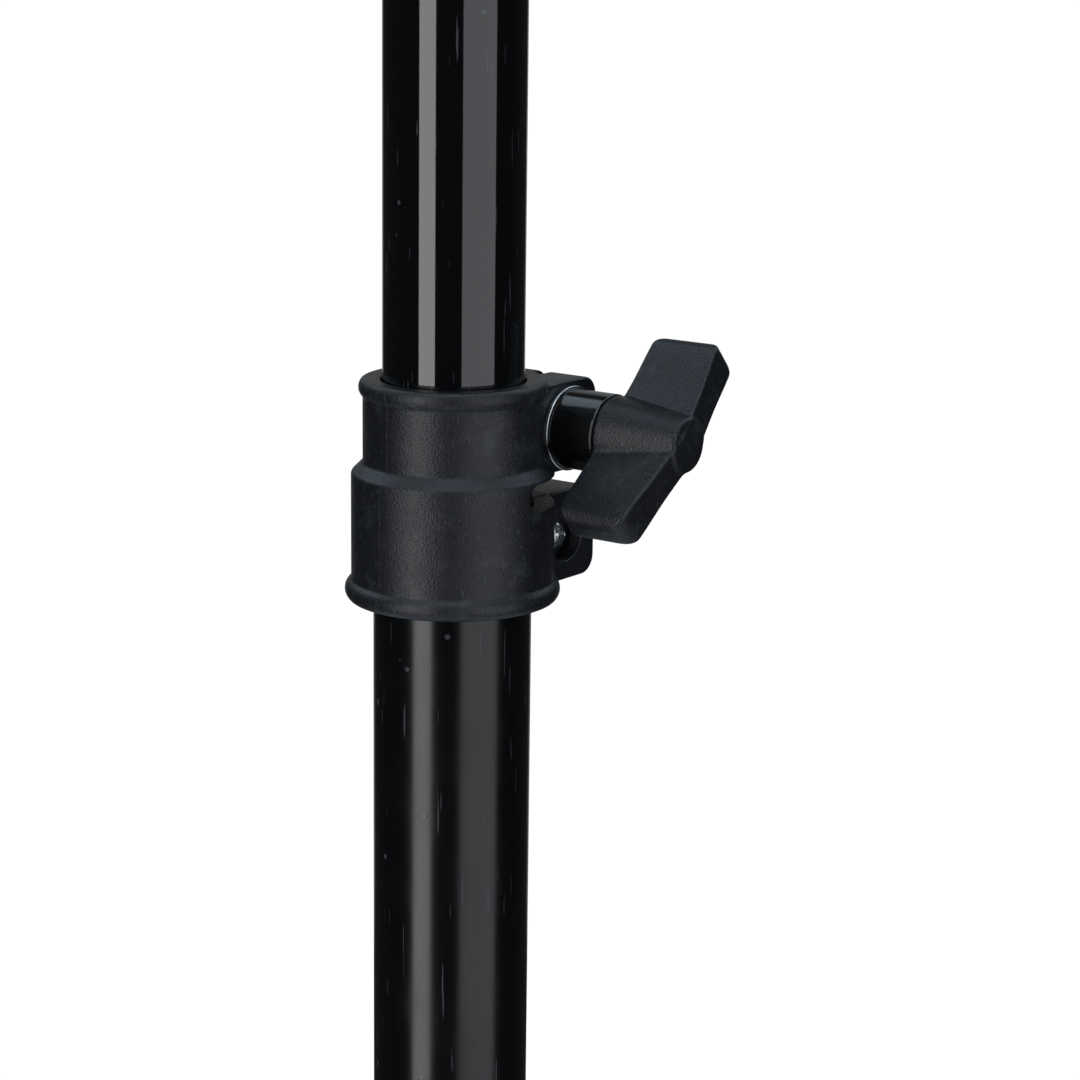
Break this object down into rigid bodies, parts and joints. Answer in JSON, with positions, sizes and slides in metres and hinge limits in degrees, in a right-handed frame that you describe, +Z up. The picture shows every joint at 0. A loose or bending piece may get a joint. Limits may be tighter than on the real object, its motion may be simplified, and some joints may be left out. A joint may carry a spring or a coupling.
{
  "type": "music stand",
  "caption": "Folding music stand: sheet-steel desk on a tilt head, telescoping tube mast with a moulded clamp collar and wing knob, and a folding tripod base.",
  "frame": {"origin": "on the floor, under the centre of the stand's outer box in X and Y; the mast axis stands 73.6 mm behind it, at +Y", "axes": "+Z up along the mast; -Y is the front, where the reader stands; +X is the reader's right, the side that the clamp and tilt knobs point to"},
  "size_m": [0.543, 0.4704, 1.1546],
  "materials": {
    "gloss_paint": "high-gloss black powder coat",
    "satin_paint": "semi-gloss black powder coat",
    "desk_paint": "fine-textured matt black powder coat",
    "moulded_plastic": "satin black moulded nylon with a fine grain",
    "gloss_plastic": "polished black moulded plastic",
    "nylon": "plain black nylon",
    "zinc_steel": "bright zinc-plated steel",
    "black_steel": "blackened steel",
    "rubber": "matt black rubber"
  },
  "bodies": {
    "base": {"lower_tube": "satin_paint", "clamp_collar": "moulded_plastic", "clamp_nut": "zinc_steel", "collar_screw": "zinc_steel", "collar_screw_nut": "zinc_steel", "leg_hub": "moulded_plastic", "hub_screw": "zinc_steel", "hub_pin_1": "black_steel", "hub_pin_2": "black_steel", "hub_pin_3": "black_steel"},
    "clamp_washer": {"clamp_washer": "zinc_steel"},
    "clamp_knob": {"clamp_knob": "moulded_plastic", "clamp_sleeve": "gloss_plastic", "clamp_bolt": "zinc_steel"},
    "guide_bush": {"guide_bush": "nylon"},
    "mast": {"upper_tube": "gloss_paint", "tilt_head": "black_steel", "tilt_head_rivet": "black_steel"},
    "desk": {"desk_panel": "desk_paint", "desk_ledge": "desk_paint", "desk_bracket": "satin_paint", "bracket_screw_1": "black_steel", "bracket_screw_2": "black_steel", "bracket_screw_3": "black_steel", "bracket_screw_4": "black_steel", "ledge_screw_1": "black_steel", "ledge_screw_2": "black_steel", "ledge_screw_3": "black_steel", "friction_washer_left": "nylon", "friction_washer_right": "nylon", "tilt_nut": "zinc_steel"},
    "tilt_washer": {"tilt_washer": "zinc_steel"},
    "tilt_knob": {"tilt_knob": "moulded_plastic", "tilt_bolt": "zinc_steel"},
    "strut_1": {"strut_1": "satin_paint"},
    "leg_1": {"leg_1": "satin_paint", "foot_1": "rubber", "strut_pin_1": "black_steel"},
    "strut_2": {"strut_2": "satin_paint"},
    "leg_2": {"leg_2": "satin_paint", "foot_2": "rubber", "strut_pin_2": "black_steel"},
    "strut_3": {"strut_3": "satin_paint"},
    "leg_3": {"leg_3": "satin_paint", "foot_3": "rubber", "strut_pin_3": "black_steel"},
    "crown": {"leg_crown": "moulded_plastic", "crown_nut": "zinc_steel", "crown_pin_1": "black_steel", "crown_pin_2": "black_steel", "crown_pin_3": "black_steel"},
    "crown_pad": {"crown_pad": "nylon"},
    "crown_knob": {"crown_knob": "moulded_plastic", "crown_bolt": "zinc_steel"}
  },
  "joints": [
    {"name": "mast_slide", "type": "slide", "parent": "base", "child": "guide_bush", "axis": [0, 0, 1], "range_m": [-0.16, 0.18]},
    {"name": "mast_turn", "type": "hinge", "parent": "guide_bush", "child": "mast", "pos_m": [0, 0.07359, 0.384], "axis": [0, 0, 1], "continuous": true},
    {"name": "desk_tilt", "type": "hinge", "parent": "mast", "child": "desk", "pos_m": [0, 0.07359, 0.972], "axis": [-1, 0, 0], "range_deg": [-20, 70]},
    {"name": "clamp_washer_slide", "type": "slide", "parent": "base", "child": "clamp_washer", "axis": [1, 0, 0], "range_m": [0, 0.00101]},
    {"name": "clamp_knob_turn", "type": "hinge", "parent": "clamp_washer", "child": "clamp_knob", "pos_m": [0.02, 0.09509, 0.6292], "axis": [1, 0, 0], "range_deg": [0, 360]},
    {"name": "tilt_washer_slide", "type": "slide", "parent": "desk", "child": "tilt_washer", "axis": [1, 0, 0], "range_m": [0, 0.00101]},
    {"name": "tilt_knob_turn", "type": "hinge", "parent": "tilt_washer", "child": "tilt_knob", "pos_m": [0.014, 0.07359, 0.972], "axis": [1, 0, 0], "range_deg": [0, 360]},
    {"name": "tripod_fold", "type": "hinge", "parent": "base", "child": "strut_1", "pos_m": [0, 0.04359, 0.0458], "axis": [-1, 0, 0], "range_deg": [0, 51]},
    {"name": "leg_1_fold", "type": "hinge", "parent": "strut_1", "child": "leg_1", "pos_m": [0, -0.06666, 0.11468], "axis": [-1, 0, 0], "range_deg": [-102.1, 0]},
    {"name": "crown_level", "type": "hinge", "parent": "leg_1", "child": "crown", "pos_m": [0, 0.04359, 0.18357], "axis": [-1, 0, 0], "range_deg": [0, 51]},
    {"name": "strut_2_fold", "type": "hinge", "parent": "base", "child": "strut_2", "pos_m": [0.02598, 0.08859, 0.0458], "axis": [0.5, -0.866, 0], "range_deg": [0, 51]},
    {"name": "leg_2_fold", "type": "hinge", "parent": "strut_2", "child": "leg_2", "pos_m": [0.12146, 0.14372, 0.11468], "axis": [0.5, -0.866, 0], "range_deg": [-102.1, 0]},
    {"name": "strut_3_fold", "type": "hinge", "parent": "base", "child": "strut_3", "pos_m": [-0.02598, 0.08859, 0.0458], "axis": [0.5, 0.866, 0], "range_deg": [0, 51]},
    {"name": "leg_3_fold", "type": "hinge", "parent": "strut_3", "child": "leg_3", "pos_m": [-0.12146, 0.14372, 0.11468], "axis": [0.5, 0.866, 0], "range_deg": [-102.1, 0]},
    {"name": "crown_pad_slide", "type": "slide", "parent": "crown", "child": "crown_pad", "axis": [0, 1, 0], "range_m": [0, 0.00101]},
    {"name": "crown_knob_turn", "type": "hinge", "parent": "crown_pad", "child": "crown_knob", "pos_m": [0, 0.10209, 0.18457], "axis": [0, 1, 0], "range_deg": [0, 360]}
  ],
  "couplings": [
    {"joint": "clamp_washer_slide", "follows": "clamp_knob_turn", "m_per_rad": 0.00015915},
    {"joint": "tilt_washer_slide", "follows": "tilt_knob_turn", "m_per_rad": 0.00015915},
    {"joint": "leg_1_fold", "follows": "tripod_fold", "ratio": -2},
    {"joint": "crown_level", "follows": "tripod_fold", "ratio": 1},
    {"joint": "strut_2_fold", "follows": "tripod_fold", "ratio": 1},
    {"joint": "leg_2_fold", "follows": "tripod_fold", "ratio": -2},
    {"joint": "strut_3_fold", "follows": "tripod_fold", "ratio": 1},
    {"joint": "leg_3_fold", "follows": "tripod_fold", "ratio": -2},
    {"joint": "crown_pad_slide", "follows": "crown_knob_turn", "m_per_rad": 0.00015915}
  ]
}
